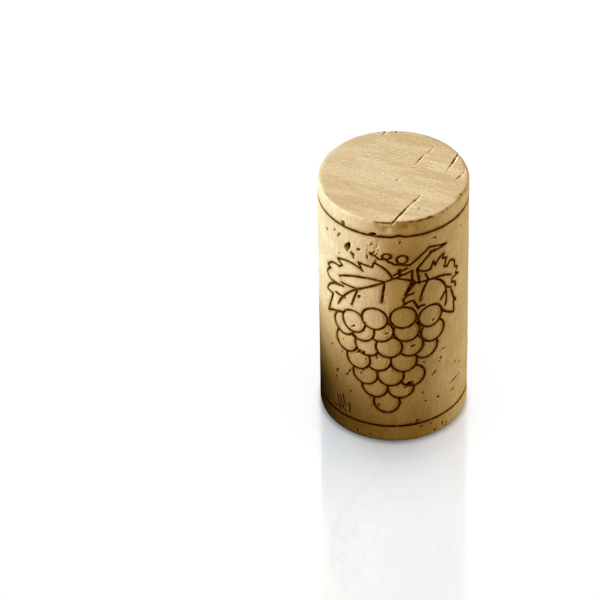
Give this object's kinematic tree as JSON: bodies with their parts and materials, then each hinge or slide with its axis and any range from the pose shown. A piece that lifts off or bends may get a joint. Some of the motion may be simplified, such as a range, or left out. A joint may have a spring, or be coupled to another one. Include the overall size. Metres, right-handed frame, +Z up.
{
  "type": "wine cork",
  "caption": "Straight natural cork stopper for a wine bottle, with a burnt line near each end and a burnt drawing of a grape bunch between vine leaves.",
  "frame": {"origin": "centre of the foot, on the surface that the cork stands on", "axes": "+Z up along the cork's own axis, -Y towards the side that carries the burnt drawing, +X to the right as that side is faced"},
  "size_m": [0.024, 0.024, 0.045],
  "materials": {
    "cork": "raw natural cork, matte, open pores, burnt brown lines"
  },
  "bodies": {
    "root": {"cork": "cork"}
  },
  "joints": []
}
